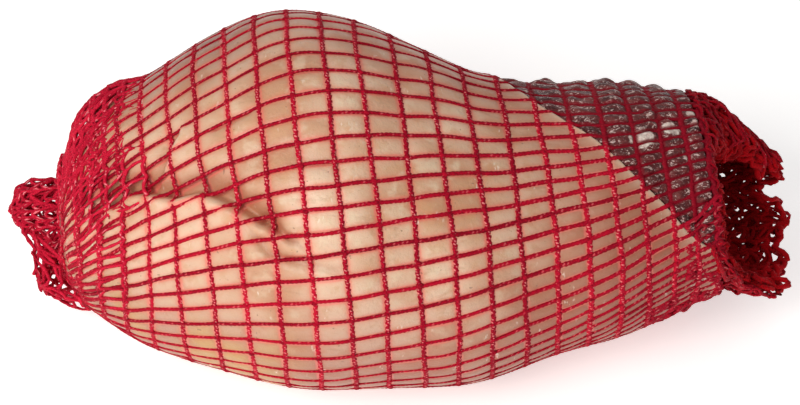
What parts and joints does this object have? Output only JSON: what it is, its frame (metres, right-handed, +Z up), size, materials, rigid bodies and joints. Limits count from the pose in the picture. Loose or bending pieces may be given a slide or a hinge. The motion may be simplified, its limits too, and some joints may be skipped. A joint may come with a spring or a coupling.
{
  "type": "salted pork hock",
  "caption": "Pear-shaped salted pork hock with its rind on, lying on its side in a tight knitted elastic net whose free ends stand out as ruffles.",
  "frame": {"origin": "on the floor, under the middle of the whole hock and its net", "axes": "+X along the hock from the foot end to the cut meat end, +Z up, the shown side faces -Y and up"},
  "size_m": [0.2322, 0.1174, 0.1007],
  "materials": {
    "rind": "pale cream to tan pig skin, moist, satin",
    "meat": "dark brown purple cured meat with white fat, wet and glossy",
    "net": "bright crimson knitted elastic yarn, matt"
  },
  "bodies": {
    "root": {"hock_in_net": "rind", "net_foot_end": "net", "net_cut_end": "net"}
  },
  "joints": []
}
